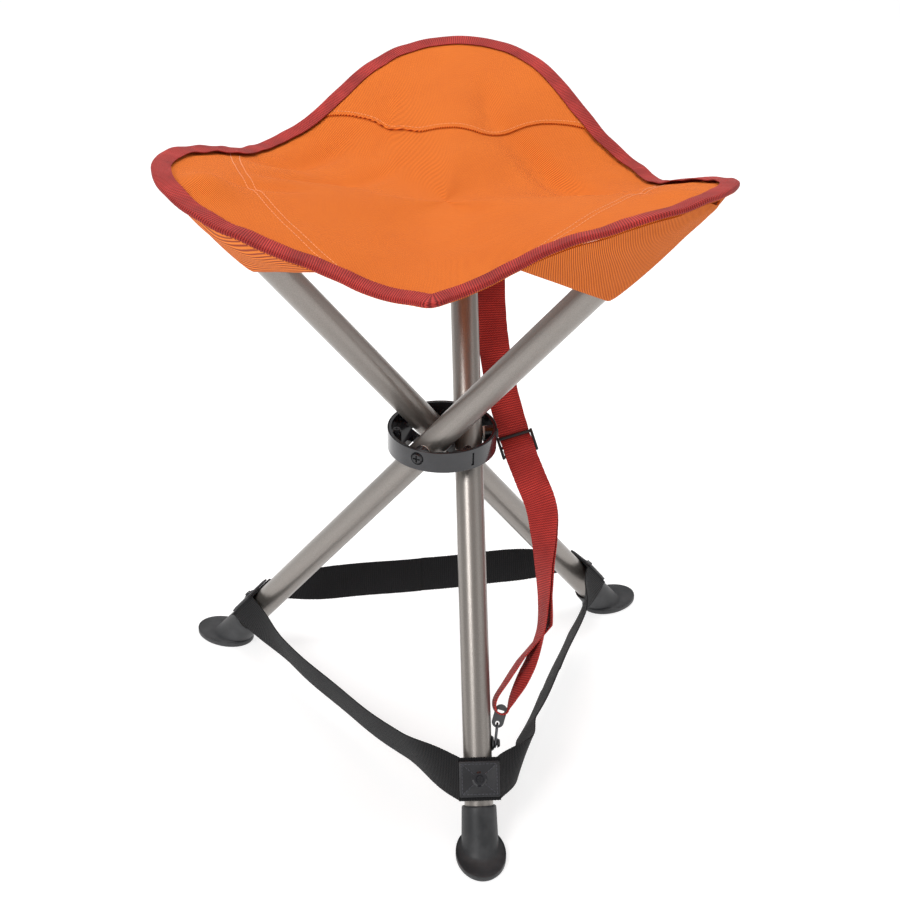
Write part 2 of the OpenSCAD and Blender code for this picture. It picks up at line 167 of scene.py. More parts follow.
def new_material(name, colour, roughness, metallic=0.0):
    """A new material and the calls that build its nodes."""
    material = bpy.data.materials.new(name)
    material.use_nodes = True
    n = Nodes(material)
    n.set("Base Color", (*colour, 1))
    n.set("Roughness", roughness)
    n.set("Metallic", metallic)
    return material, n


class Nodes:
    """Short calls for building one material's node tree."""

    def __init__(self, material):
        self.tree = material.node_tree
        self.bsdf = self.tree.nodes["Principled BSDF"]

    def set(self, name, value):
        self.bsdf.inputs[name].default_value = value

    def add(self, kind, **settings):
        node = self.tree.nodes.new(kind)
        for key, value in settings.items():
            setattr(node, key, value)
        return node

    def put(self, socket, value):
        if isinstance(value, bpy.types.NodeSocket):
            self.tree.links.new(value, socket)
        elif hasattr(value, "__len__") and len(value) == 3 and socket.type == "RGBA":
            socket.default_value = (*value, 1)
        else:
            socket.default_value = value

    def math(self, operation, a, b=0.0):
        node = self.add("ShaderNodeMath", operation=operation)
        self.put(node.inputs[0], a)
        self.put(node.inputs[1], b)
        return node.outputs[0]

    def uv(self):
        """The cloth's own flat coordinates in metres, as separate across and along."""
        split = self.add("ShaderNodeSeparateXYZ")
        self.put(split.inputs[0], self.add("ShaderNodeUVMap", uv_map=CLOTH_UV).outputs[0])
        return split.outputs[0], split.outputs[1]

    def object_place(self):
        return self.add("ShaderNodeTexCoord").outputs["Object"]

    def noise(self, vector, scale, detail=2.0, roughness=0.5):
        node = self.add("ShaderNodeTexNoise")
        self.put(node.inputs["Vector"], vector)
        self.put(node.inputs["Scale"], scale)
        self.put(node.inputs["Detail"], detail)
        self.put(node.inputs["Roughness"], roughness)
        return node.outputs["Fac"]

    def combine(self, x, y):
        node = self.add("ShaderNodeCombineXYZ")
        for socket, value in zip(node.inputs, (x, y)):
            self.put(socket, value)
        return node.outputs[0]

    def wave(self, value, pitch):
        """A smooth 0 to 1 wave of that pitch, in the value's units."""
        turn = self.math("MULTIPLY", value, math.tau / pitch)
        return self.math("ADD", self.math("MULTIPLY", self.math("SINE", turn), 0.5), 0.5)

    def mix(self, share, a, b, blend="MIX"):
        node = self.add("ShaderNodeMix", data_type="RGBA", blend_type=blend)
        self.put(node.inputs[0], share)
        self.put(node.inputs[6], a)
        self.put(node.inputs[7], b)
        return node.outputs[2]

    def ramp(self, value, low, high):
        node = self.add("ShaderNodeMapRange")
        self.put(node.inputs["Value"], value)
        self.put(node.inputs["From Min"], low)
        self.put(node.inputs["From Max"], high)
        return node.outputs["Result"]

    def colour(self, value):
        self.put(self.bsdf.inputs["Base Color"], value)

    def roughness(self, value, amount, least):
        """Roughness of at least that much, and up to the amount more where value is 1."""
        self.put(self.bsdf.inputs["Roughness"], self.math("ADD", self.math("MULTIPLY", value, amount), least))

    def bump(self, height, distance, strength):
        node = self.add("ShaderNodeBump")
        self.put(node.inputs["Height"], height)
        node.inputs["Distance"].default_value = distance
        node.inputs["Strength"].default_value = strength
        self.put(self.bsdf.inputs["Normal"], node.outputs[0])


def twill_material():
    """Orange canvas with a diagonal twill; the valleys between its ribs are painted dark red as painted
    shade.
    """
    material, n = new_material("orange_twill", (0.85, 0.22, 0.03), 0.82)
    u, v = n.uv()
    diagonal = n.math("ADD", u, v)
    rib = n.wave(diagonal, 1.6 * MM)
    cross = n.wave(n.math("SUBTRACT", u, n.math("MULTIPLY", v, 0.35)), 0.62 * MM)
    patches = n.noise(n.combine(u, v), 14, 3)
    slub = n.noise(n.combine(n.math("MULTIPLY", u, 0.12), v), 900, 2)
    weave = n.math("MULTIPLY", rib, n.math("ADD", n.math("MULTIPLY", cross, 0.4), 0.6))
    # painted shade: the weave's valleys take the dark red colour and its ribs the orange
    shade = n.mix(n.ramp(weave, 0.02, 0.6), (0.3, 0.028, 0.008), (0.92, 0.245, 0.028))
    tone = n.mix(n.ramp(patches, 0.3, 0.7), (0.94, 0.9, 0.88), (1.0, 1.0, 1.0))
    n.colour(n.mix(1.0, shade, tone, "MULTIPLY"))
    n.roughness(slub, 0.12, 0.76)
    n.set("Sheen Weight", 0.06)
    n.set("Sheen Roughness", 0.5)
    n.set("Sheen Tint", (1, 0.6, 0.4, 1))
    n.set("Specular IOR Level", 0.14)
    n.bump(weave, 0.3 * MM, 1.0)
    return material


def webbing_material(name, dark, light, rib_pitch, roughness):
    """Woven webbing: ribs across its width, broken by the warp."""
    material, n = new_material(name, light, roughness)
    u, v = n.uv()
    shift = n.math("MULTIPLY", n.wave(u, 2.1 * MM), 0.22 * rib_pitch)
    rib = n.wave(n.math("ADD", v, shift), rib_pitch)
    warp = n.wave(u, 1.05 * MM)
    weave = n.math("MULTIPLY", rib, n.math("ADD", n.math("MULTIPLY", warp, 0.35), 0.65))
    fade = n.noise(n.combine(u, v), 40, 3)
    # painted shade: the rib valleys take the dark colour; the fade noise varies the tone at random
    share = n.math("MULTIPLY", n.ramp(weave, 0.0, 0.8), n.ramp(fade, 0.1, 0.75))
    n.colour(n.mix(share, dark, light))
    n.roughness(fade, 0.15, roughness - 0.07)
    n.set("Sheen Weight", 0.05)
    n.set("Specular IOR Level", 0.22)
    n.bump(weave, 0.35 * MM, 1.0)
    return material


def painted_tube_material():
    """Warm grey metallic paint, with fine flake, a faint cloudiness and light scuffs."""
    material, n = new_material("taupe_metal", (0.28, 0.255, 0.235), 0.36, 0.72)
    place = n.object_place()
    flake = n.noise(place, 2600, 2)
    cloud = n.noise(place, 22, 4)
    scuff = n.noise(place, 160, 5, 0.7)
    shade = n.mix(n.ramp(flake, 0.35, 0.7), (0.235, 0.212, 0.194), (0.34, 0.315, 0.29))
    n.colour(n.mix(n.math("MULTIPLY", n.ramp(cloud, 0.35, 0.75), 0.25), shade,
                                           (0.3, 0.28, 0.26)))
    cloudy = n.math("ADD", n.math("MULTIPLY", cloud, 0.12), 0.29)
    n.roughness(n.ramp(scuff, 0.6, 0.75), 0.12, cloudy)
    n.set("Coat Weight", 0.25)
    n.set("Coat Roughness", 0.28)
    n.bump(flake, 0.02 * MM, 0.5)
    return material


def gloss_plastic_material():
    """Gloss black moulding with a soft orange-peel and dust-fine scratches."""
    material, n = new_material("gloss_black", (0.012, 0.012, 0.015), 0.16)
    place = n.object_place()
    peel = n.noise(place, 260, 2)
    wear = n.noise(place, 70, 5, 0.65)
    n.colour(n.mix(n.ramp(wear, 0.45, 0.8), (0.010, 0.010, 0.013), (0.028, 0.028, 0.034)))
    n.roughness(n.ramp(wear, 0.4, 0.8), 0.16, 0.13)
    n.set("Coat Weight", 0.4)
    n.set("Coat Roughness", 0.08)
    n.bump(peel, 0.05 * MM, 0.25)
    return material


def matt_plastic_material(name, colour, roughness):
    material, n = new_material(name, colour, roughness)
    place = n.object_place()
    fine = n.noise(place, 1260, 3)
    broad = n.noise(place, 70, 3)
    lighter = tuple(min(1, c * 1.7 + 0.012) for c in colour)
    n.colour(n.mix(n.math("MULTIPLY", n.ramp(broad, 0.4, 0.8), 0.6), colour, lighter))
    n.roughness(broad, 0.16, roughness - 0.08)
    n.bump(fine, 0.05 * MM, 0.35)
    return material


def rubber_material():
    """Smooth dark grey rubber, greyer where it is scuffed and dusty."""
    material, n = new_material("boot_rubber_dark", (0.03, 0.031, 0.033), 0.5)
    place = n.object_place()
    dust = n.noise(place, 45, 5, 0.6)
    fine = n.noise(place, 700, 3)
    n.colour(n.mix(n.ramp(dust, 0.4, 0.8), (0.021, 0.022, 0.024), (0.058, 0.059, 0.062)))
    n.roughness(dust, 0.25, 0.36)
    n.set("Specular IOR Level", 0.45)
    n.bump(fine, 0.03 * MM, 0.3)
    return material


def vinyl_material():
    """Black grained vinyl of the sewn patches."""
    material, n = new_material("vinyl_black", (0.016, 0.016, 0.018), 0.42)
    place = n.object_place()
    cells = n.add("ShaderNodeTexVoronoi", feature="DISTANCE_TO_EDGE")
    n.put(cells.inputs["Vector"], place)
    cells.inputs["Scale"].default_value = 900
    broad = n.noise(place, 90, 3)
    n.colour(n.mix(broad, (0.010, 0.010, 0.012), (0.028, 0.028, 0.032)))
    n.roughness(broad, 0.2, 0.32)
    n.bump(n.ramp(cells.outputs["Distance"], 0.0, 0.12), 0.08 * MM, 0.5)
    return material


def steel_material(name, colour, roughness):
    material, n = new_material(name, colour, roughness, 1.0)
    place = n.object_place()
    lines = n.noise(place, 900, 3, 0.6)
    broad = n.noise(place, 120, 3)
    darker = tuple(c * 0.72 for c in colour)
    n.colour(n.mix(n.ramp(broad, 0.35, 0.7), darker, colour))
    n.roughness(lines, 0.2, roughness - 0.08)
    n.bump(lines, 0.015 * MM, 0.4)
    return material


def thread_material(name, colour):
    material, n = new_material(name, colour, 0.6)
    twist = n.noise(n.object_place(), 2600, 2)
    darker = tuple(c * 0.6 for c in colour)
    n.colour(n.mix(twist, darker, colour))
    n.set("Sheen Weight", 0.3)
    n.bump(twist, 0.05 * MM, 0.5)
    return material


# ---------- meshes ----------


def mesh_piece(name, points, faces, material, uvs=None, sharp=math.radians(40)):
    """A new object from points and faces; uvs hold one flat place, in metres, for each point."""
    mesh = bpy.data.meshes.new(name)
    mesh.from_pydata([tuple(p) for p in points], [], faces)
    mesh.materials.append(material)
    if uvs is not None:
        layer = mesh.uv_layers.new(name=CLOTH_UV)
        for loop in mesh.loops:
            layer.data[loop.index].uv = uvs[loop.vertex_index]
    mesh.update()
    mesh.shade_smooth()
    mesh.set_sharp_from_angle(angle=sharp)
    obj = bpy.data.objects.new(name, mesh)
    bpy.context.scene.collection.objects.link(obj)
    return obj


def grid_normals(rows):
    """Unit normals of a grid of points, from its neighbours' differences."""
    last_i, last_j = len(rows) - 1, len(rows[0]) - 1
    normals = []
    for i, row in enumerate(rows):
        line = []
        for j in range(len(row)):
            du = rows[min(i + 1, last_i)][j] - rows[max(i - 1, 0)][j]
            dv = row[min(j + 1, last_j)] - row[max(j - 1, 0)]
            line.append(du.cross(dv).normalized())
        normals.append(line)
    return normals


def set_back(rows, normals, thickness):
    """The grid of points that lies that far under another one."""
    return [[p - d * thickness for p, d in zip(row, line)] for row, line in zip(rows, normals)]


def ring_faces(rings, n):
    """Faces of a solid of that many rings with n points each, with a flat face over its first and last."""
    faces = [(i * n + j, i * n + (j + 1) % n, (i + 1) * n + (j + 1) % n, (i + 1) * n + j)
             for i in range(rings - 1) for j in range(n)]
    last = (rings - 1) * n
    return faces + [tuple(range(n - 1, -1, -1)), tuple(range(last, last + n))]


def closed_sheet(upper, lower):
    """Points and faces of a closed sheet between two grids of the same size."""
    m, n = len(upper), len(upper[0])
    count = m * n
    faces = []
    for i in range(m - 1):
        for j in range(n - 1):
            a = i * n + j
            faces.append((a, a + n, a + n + 1, a + 1))
            faces.append((count + a, count + a + 1, count + a + n + 1, count + a + n))
    rim = [*range(n)] + [i * n + n - 1 for i in range(1, m)]
    rim += [(m - 1) * n + j for j in range(n - 2, -1, -1)] + [i * n for i in range(m - 2, 0, -1)]
    for a, b in zip(rim, rim[1:] + rim[:1]):
        faces.append((a, b, count + b, count + a))
    return [p for row in upper + lower for p in row], faces


def band_piece(name, route, across, width, thickness, material, teeth):
    """Flat webbing along a route, with its width direction at each point and a toothed selvedge."""
    rows, uvs, length, steps = [], [], 0.0, 8
    for i, (place, side) in enumerate(zip(route, across)):
        if i:
            length += (place - route[i - 1]).length
        wave = teeth * abs(math.sin(math.pi * length / (2.4 * MM)))
        half = (width if isinstance(width, float) else width[i]) / 2 + wave
        rows.append([place + side * half * (2 * j / steps - 1) for j in range(steps + 1)])
        uvs.append([(half * (2 * j / steps - 1), length) for j in range(steps + 1)])
    normals = grid_normals(rows)
    # the band is a little thinner at its two edges
    shaped, mirrored = [], []
    for row, line in zip(rows, normals):
        fat = [0.5 * thickness * (0.55 + 0.45 * min(1, 3.2 * min(j, steps - j) / steps))
               for j in range(steps + 1)]
        shaped.append([p + d * f for p, d, f in zip(row, line, fat)])
        mirrored.append([p - d * f for p, d, f in zip(row, line, fat)])
    points, faces = closed_sheet(shaped, mirrored)
    flat = [uv for row in uvs for uv in row]
    return mesh_piece(name, points, faces, material, flat + flat)


def smooth_route(points, samples):
    """A Catmull-Rom curve through points, with that many samples in each span; works on any vectors."""
    ends = [points[0] * 2 - points[1], *points, points[-1] * 2 - points[-2]]
    route = []
    for i in range(1, len(ends) - 2):
        a, b, c, d = ends[i - 1:i + 3]
        for s in range(samples):
            t = s / samples
            route.append(0.5 * (2 * b + (c - a) * t + (2 * a - 5 * b + 4 * c - d) * t * t
                                + (3 * b - a - 3 * c + d) * t ** 3))
    return route + [points[-1].copy()]


def lathe(name, profile, matrix, material, steps):
    """A closed solid of revolution about local Z, from a closed outline of (radius, height) pairs."""
    points, faces, n = [], [], len(profile)
    for i in range(steps):
        a = math.tau * i / steps
        points += [matrix @ Vector((r * math.cos(a), r * math.sin(a), h)) for r, h in profile]
    for i in range(steps):
        here, there = i * n, (i + 1) % steps * n
        for j in range(n):
            k = (j + 1) % n
            faces.append((here + j, there + j, there + k, here + k))
    obj = mesh_piece(name, points, faces, material)
    face_outwards(obj, math.radians(35), weld=True)
    return obj


def face_outwards(obj, sharp=math.radians(60), weld=False):
    """Turns every face of a closed piece outwards and smooths it; weld first merges doubled points."""
    work = bmesh.new()
    work.from_mesh(obj.data)
    if weld:
        bmesh.ops.remove_doubles(work, verts=work.verts, dist=1e-6)
        bmesh.ops.dissolve_degenerate(work, edges=work.edges, dist=1e-7)
    bmesh.ops.recalc_face_normals(work, faces=work.faces)
    work.to_mesh(obj.data)
    work.free()
    obj.data.shade_smooth()
    obj.data.set_sharp_from_angle(angle=sharp)


def join(name, objs):
    """Joins several pieces of one material into the first, and names it."""
    work = bmesh.new()
    for o in objs:
        work.from_mesh(o.data)
    first = objs[0]
    work.to_mesh(first.data)
    work.free()
    for o in objs[1:]:
        bpy.data.objects.remove(o)
    first.name = name
    first.data.name = name
    return first


def stitch_points(places, normals, along, length, radius):
    """Points and faces of small thread stitches, each a six-sided spindle lying on its surface."""
    points, faces = [], []
    profile = ((-0.5, 0.25), (-0.32, 0.85), (0.0, 1.0), (0.32, 0.85), (0.5, 0.25))
    for place, normal, t in zip(places, normals, along):
        side = normal.cross(t).normalized()
        base = len(points)
        for x, r in profile:
            for i in range(6):
                a = math.pi / 3 * i
                ring = side * math.cos(a) + normal * math.sin(a) * 0.7
                points.append(place + t * x * length + ring * r * radius)
        faces += [tuple(base + i for i in face) for face in ring_faces(len(profile), 6)]
    return points, faces


def stitches(name, line, normals, pitch, length, radius, material):
    """A row of stitches along a line of points with their surface normals."""
    places, ups, ways = [], [], []
    travelled, due = 0.0, pitch / 2
    for i in range(1, len(line)):
        step = line[i] - line[i - 1]
        while travelled + step.length >= due:
            share = (due - travelled) / step.length
            places.append(line[i - 1] + step * share)
            ups.append(normals[i - 1].lerp(normals[i], share).normalized())
            ways.append(step.normalized())
            due += pitch
        travelled += step.length
    points, faces = stitch_points(places, ups, ways, length, radius)
    return mesh_piece(name, points, faces, material)


# ---------- seat ----------

# The seat's edge round the hub, as waves of its angle from the back corner: for each number of waves in a
# turn, the amounts of its cosine and its sine, in millimetres
HEM_RADIUS = {0: (189, 0), 1: (2.5, -1.5), 3: (25, 0), 6: (6, 0), 9: (-2, 0)}
HEM_HEIGHT = {0: (224, 0), 1: (5.5, 1), 2: (1, 6), 3: (26, -5.5), 6: (-1.5, 0)}
CENTRE_Z = 196 * MM
# The edge comes to a slight point at the front, where the binding's two ends meet
FRONT_POINT = 4 * MM
CLOTH_T = 1.7 * MM
CLOTH_EDGE = 0.994
TAPE_W = 11.5 * MM
TAPE_T = 0.9 * MM
TUBE_BUMP = {1: 0.0, 2: 5.5 * MM, 3: 12 * MM}
# Soft valleys in the cloth: start and end of each one from the hub, its half width, and its depth
CREASES = (((-0.070, 0.105), (-0.150, 0.035), 0.013, 9.5 * MM),
           ((-0.035, 0.060), (-0.140, -0.015), 0.010, 6.0 * MM),
           ((-0.100, -0.030), (-0.165, -0.055), 0.008, 4.0 * MM),
           ((0.050, 0.100), (0.125, -0.015), 0.013, 8.5 * MM),
           ((0.070, 0.030), (0.140, -0.075), 0.010, 5.0 * MM),
           ((-0.030, 0.155), (-0.045, 0.080), 0.010, 4.5 * MM),
           ((0.040, 0.155), (0.040, 0.085), 0.011, 4.5 * MM))
THIRD = math.radians(60)
corner_angle = {k: math.atan2((tip[k] - hub).y, (tip[k] - hub).x) for k in SIDES}


def waves(amounts, a):
    return MM * sum(c * math.cos(n * a) + s * math.sin(n * a) for n, (c, s) in amounts.items())


def crease(x, y, start, end, width, depth):
    """Depth of a soft valley along the line from start to end."""
    a, b = Vector(start), Vector(end)
    line = b - a
    t = max(0.0, min(1.0, (Vector((x, y)) - a).dot(line) / line.length_squared))
    gap = (Vector((x, y)) - a - line * t).length
    fade = math.sin(math.pi * min(1.0, max(0.0, 0.08 + 0.84 * t)))
    return -depth * fade * math.exp(-(gap / width) ** 2)


def seat_relief(x, y, q):
    """Soft folds of the slack cloth, as a height over its plain shape, fading at the edge."""
    h = sum(crease(x, y, *valley) for valley in CREASES)
    h += 2.4 * MM * noise.noise(Vector((x * 13, y * 13, 3.0)))
    h += 0.7 * MM * noise.noise(Vector((x * 42, y * 42, 7.0)))
    return h * max(0.0, 1 - q ** 6)


def tube_bump(k, x, y):
    """How far the leg's end pushes the cloth up, just inside its corner."""
    place = tip[k] - hub
    gap = Vector((x - place.x * 0.97, y - place.y * 0.97)).length
    return TUBE_BUMP[k] * math.exp(-(gap / 0.019) ** 2)


def seat_point(k, a, q):
    """A point on the seat's top: corner k, angle from it, and share of the way out to the edge."""
    turn = corner_angle[k] + a
    wave = (turn - corner_angle[1]) % (math.tau)
    radius, height = waves(HEM_RADIUS, wave), waves(HEM_HEIGHT, wave)
    flatter = 1 + 0.9 * (1 - math.cos(3 * wave)) / 2
    z = CENTRE_Z + (height - CENTRE_Z) * q ** flatter
    radius += FRONT_POINT * math.exp(-((wave - math.pi) / math.radians(3.5)) ** 2)
    x, y = q * radius * math.cos(turn), q * radius * math.sin(turn)
    ripple = 1.6 * MM * noise.noise(Vector((9 * math.cos(turn), 9 * math.sin(turn), 5.0))) * q ** 5
    return hub + Vector((x, y, z + seat_relief(x, y, q) + ripple + tube_bump(k, x, y)))


def seat_normal(k, a, q):
    e = 0.01
    q = min(q, 0.99)
    du = seat_point(k, a, q + e) - seat_point(k, a, max(q - e, 0.002))
    dv = seat_point(k, a + e, q) - seat_point(k, a - e, q)
    return du.cross(dv).normalized()


def seat_share(k, a, reach):
    """The share q at which the seat is that far from the hub along corner k's own direction."""
    return min(CLOTH_EDGE, reach / math.cos(a) / waves(HEM_RADIUS, corner_angle[k] + a - corner_angle[1]))


def ride_seat(obj, k):
    """Lets obj follow seat third k, on a mesh of its own."""
    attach(obj, f"seat_{k}")
    sideways = corner_frame(k).to_3x3().col[1]
    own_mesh(obj)


def cloth_piece(name, k, angles, shares, material, thickness, lift=0.0):
    """A closed sheet on the seat's surface with the surface's own smooth normals.

    shares gives, for each angle, the list of shares of the radius at which it has points."""
    columns = [shares(a) for a in angles]
    rows = [[(a, column[i]) for a, column in zip(angles, columns)] for i in range(len(columns[0]))]
    normals = [[seat_normal(k, a, q) for a, q in row] for row in rows]
    places = [[seat_point(k, a, q) + n * lift for (a, q), n in zip(row, line)]
              for row, line in zip(rows, normals)]
    points, faces = closed_sheet(places, set_back(places, normals, thickness))
    obj = mesh_piece(name, points, faces, material, [(p.x, p.y) for p in points], sharp=math.radians(60))
    flat = [d for line in normals for d in line]
    both, custom = flat + [-d for d in flat], []
    for polygon in obj.data.polygons:
        on_rim = len({i < len(flat) for i in polygon.vertices}) == 2
        custom += [tuple(polygon.normal if on_rim else both[i]) for i in polygon.vertices]
    obj.data.normals_split_custom_set(custom)
    return obj


def spread(low, high, steps):
    return [low + (high - low) * i / steps for i in range(steps + 1)]


def cut_size(obj, frame_in):
    """Width across and length along a frame's X of the piece as seen from above, in metres."""
    inverse = frame_in.inverted()
    places = [inverse @ v.co for v in obj.data.vertices]
    return tuple(max(p[i] for p in places) - min(p[i] for p in places) for i in (1, 0))


def grid_size(rows):
    """Longest row and longest column of a grid of points, in metres."""
    def length(line):
        return sum((b - a).length for a, b in zip(line, line[1:]))
    return max(length(row) for row in rows), max(length(column) for column in zip(*rows))


def make_seat_cloth(k, material):
    cloth = cloth_piece(f"seat_cloth_{k}", k, spread(-THIRD, THIRD, 84),
                        lambda a: [max(0.002, q) for q in spread(0, CLOTH_EDGE, 60)], material, CLOTH_T)
    ride_seat(cloth, k)
    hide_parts(f"seat_panel_{k}")
    return cloth


def hem_frame(k, a):
    """The hem's point, the way inwards over the cloth, and the cloth's normal."""
    edge = seat_point(k, a, 1.0)
    inward = (seat_point(k, a, 0.93) - edge).normalized()
    along = (seat_point(k, a + 0.01, 1.0) - seat_point(k, a - 0.01, 1.0)).normalized()
    inward = (inward - along * inward.dot(along)).normalized()
    return edge, inward, inward.cross(along).normalized()


def make_binding(k, material, thread):
    """The ribbed tape folded over the seat's edge, and its row of stitches."""
    steps = 220
    top, low = 0.5 * MM, -CLOTH_T - 0.5 * MM
    middle, reach = (top + low) / 2, (top - low) / 2
    fold = [math.radians(b) for b in range(20, 180, 20)]
    curve = [(TAPE_W, top), (TAPE_W * 0.5, top + 0.15 * MM), (1.2 * MM, top)]
    curve += [(-reach * math.sin(b), middle + reach * math.cos(b)) for b in fold]
    curve += [(1.2 * MM, low), (TAPE_W * 0.5, low - 0.15 * MM), (TAPE_W, low)]
    skin = 0.75 * TAPE_T
    outer = [(x, z + math.copysign(skin, z - middle)) if x > 0 else (x - skin, middle + (z - middle) * 1.45)
             for x, z in curve]
    section = outer + curve[::-1]
    width = [0.0]
    for (x1, z1), (x2, z2) in zip(section, section[1:]):
        width.append(width[-1] + math.hypot(x2 - x1, z2 - z1))
    points, uvs, line, ups, length = [], [], [], [], 0.0
    for i, a in enumerate(spread(-THIRD, THIRD, steps)):
        edge, inward, up = hem_frame(k, a)
        wobble = 0.35 * MM * noise.noise(Vector((edge.x * 60, edge.y * 60, 1.0)))
        centre = edge + inward * (1.6 * MM + wobble)
        points += [centre + inward * x + up * z for x, z in section]
        line.append(edge + inward * (TAPE_W - 0.2 * MM) + up * (top + skin + 0.05 * MM))
        ups.append(up)
        if i:
            length += (line[i] - line[i - 1]).length
        uvs += [(w, length) for w in width]
    faces = ring_faces(steps + 1, len(section))
    tape = mesh_piece(f"seat_edge_tape_{k}", points, faces, material, uvs)
    face_outwards(tape)
    ride_seat(tape, k)
    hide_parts(f"seat_binding_{k}")
    row = stitches(f"seat_edge_stitches_{k}", line, ups, 3.2 * MM, 2.5 * MM, 0.38 * MM, thread)
    ride_seat(row, k)
    return [tape, row]


def seam_on_seat(name, k, angles, reach, offset, lift, thread):
    """A stitch row across corner k, at a distance from the hub given for each angle."""
    line, ups = [], []
    for a in angles:
        q = seat_share(k, a, reach(a) + offset)
        up = seat_normal(k, a, q)
        line.append(seat_point(k, a, q) + up * lift)
        ups.append(up)
    row = stitches(name, line, ups, 2.9 * MM, 2.3 * MM, 0.3 * MM, thread)
    ride_seat(row, k)
    return row


CORNER_SEAM_REACH = 0.142
CORNER_SEAM_HALF = math.radians(41)
FLAP_HALF = math.radians(41)
FLAP_T = 1.3 * MM


def corner_seam(a):
    """How far out the corner's double seam lies, bowing back towards the hub at its ends."""
    return CORNER_SEAM_REACH - 0.022 * (a / CORNER_SEAM_HALF) ** 2


def flap_reach(a):
    """How far out the back flap's lower edge lies: low in the middle, and higher from there to the sides."""
    rise = min(1.0, max(0.0, (abs(a) - math.radians(13)) / math.radians(25)))
    return 0.092 + 0.032 * rise * rise * (3 - 2 * rise)


def make_corner_seams(k, thread):
    angles = spread(-CORNER_SEAM_HALF, CORNER_SEAM_HALF, 120)
    return [seam_on_seat(f"corner_seam_{side}_{k}", k, angles, corner_seam, offset, 0.15 * MM, thread)
            for side, offset in (("inner", 0.0), ("outer", 5.5 * MM))]


def make_back_flap(material, thread):
    """The second layer of cloth on the back corner, and the seam along its lower edge."""
    edge = 1 - 0.5 * TAPE_W / 0.2

    def shares(a):
        low = seat_share(1, a, flap_reach(a))
        return spread(low, max(edge, low + 0.02), 26)
    angles = spread(-FLAP_HALF, FLAP_HALF, 84)
    flap = cloth_piece("seat_back_flap", 1, angles, shares, material, FLAP_T, 1.5 * MM)
    ride_seat(flap, 1)
    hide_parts("back_flap")
    angles = spread(-FLAP_HALF * 0.98, FLAP_HALF * 0.98, 120)
    seam = seam_on_seat("seat_back_flap_seam", 1, angles, flap_reach, 4 * MM, 1.6 * MM, thread)
    cut_size(flap, corner_frame(1))


# ---------- pockets ----------

POCKET_MOUTH_S = {1: 0.213, 2: 0.211, 3: 0.225}
POCKET_END_S = {1: 0.324, 2: 0.318, 3: 0.309}
POCKET_HALF = {1: math.radians(41), 2: math.radians(40), 3: math.radians(33)}
POCKET_TIP_HALF = math.radians(2.5)
POCKET_R = TUBE_R + 1.5 * MM
POCKET_SAG = 3 * MM
POCKET_T = 1.1 * MM
POCKET_TIP_R = 3 * MM
SLEEVE_S = 0.226


def pocket_row(k, w):
    """One row across the pocket, at a share w of the way from its mouth to the corner.

    Gives the hem points, the ends and the centre of the arc under the tube, and the arc's radius."""
    to_leg = leg_frame(k).inverted()
    s = POCKET_MOUTH_S[k] + (POCKET_END_S[k] - POCKET_MOUTH_S[k]) * w
    past = max(0.0, (s - TIP_S) / (POCKET_END_S[k] - TIP_S))
    r = POCKET_R + (POCKET_TIP_R - POCKET_R) * past
    half = POCKET_HALF[k] + (POCKET_TIP_HALF - POCKET_HALF[k]) * w
    hems = [to_leg @ (seat_point(k, side * half, 0.965) - Vector((0, 0, 3.2 * MM))) for side in (-1, 1)]
    deepest = max(POCKET_R, max(p.y for p in hems) + 1.5 * MM)
    keel = POCKET_R + POCKET_SAG * math.sin(math.pi * w) ** 0.6 + (deepest - POCKET_R) * past
    centre = Vector((0, keel - r, s))
    touches = []
    for side, hem in zip((-1, 1), hems):
        flat = Vector((hem.x - centre.x, hem.y - centre.y))
        turn = math.atan2(flat.y, flat.x) % (math.tau)
        if side < 0 and turn > math.pi:
            turn -= math.tau
        touches.append(turn - side * math.acos(min(1.0, r / flat.length)))
    return hems, touches, centre, r


def make_pocket(k, material, thread):
    """The pocket under corner k: a strip under the tube, and a wing from it to the edge on each side."""
    rows, steps = 30, 10
    keel, wings = [], {-1: [], 1: []}
    for w in spread(0, 1, rows):
        ends, touches, centre, r = pocket_row(k, w)
        arc = [centre + Vector((r * math.cos(b), r * math.sin(b), 0)) for b in spread(*touches, steps)]
        keel.append(arc)
        for side, hem, touch in ((-1, ends[0], arc[0]), (1, ends[1], arc[-1])):
            sag = 2.5 * MM * math.sin(math.pi * w)
            line = []
            for t in spread(0, 1, 16):
                p = touch.lerp(hem, t)
                p.y += sag * math.sin(math.pi * t) + 0.8 * MM * math.sin(9 * t + 5 * w + side) * t * (1 - t)
                line.append(p)
            wings[side].append(line)
    place = leg_frame(k)
    pieces = []
    for name, grid, flip in (("keel", keel, False), ("wing_left", wings[1], False),
                             ("wing_right", wings[-1], True)):
        grid = [[place @ p for p in (row[::-1] if flip else row)] for row in grid]
        points, faces = closed_sheet(grid, set_back(grid, grid_normals(grid), POCKET_T))
        uvs = [(p.x + p.z, p.y) for p in points]
        piece = mesh_piece(f"pocket_{name}_{k}", points, faces, material, uvs)
        face_outwards(piece)
        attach(piece, f"leg_{k}")
        across, down = grid_size(grid)
        pieces.append(piece)
    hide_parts(f"seat_pocket_{k}")
    along = place.to_3x3().col[2]
    for piece, side in ((pieces[1], 1), (pieces[2], -1)):
        middle = wings[side][len(wings[side]) // 3]
        across = place.to_3x3() @ (middle[-1] - middle[0])
        across = (across - along * across.dot(along)).normalized()
        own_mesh(piece)


def make_sleeve(k, material):
    """The inner sleeve of cloth round the tube's upper end."""
    inside, outside = TUBE_R + 0.3 * MM, POCKET_R - 0.2 * MM
    under, top = TIP_S + 0.2 * MM, TIP_S + 0.7 * MM
    profile = [(outside, SLEEVE_S), (outside, top), (0.0, top),
               (0.0, under), (inside, under), (inside, SLEEVE_S)]
    sleeve = lathe(f"pocket_sleeve_{k}", profile, leg_frame(k), material, 48)
    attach(sleeve, f"leg_{k}")


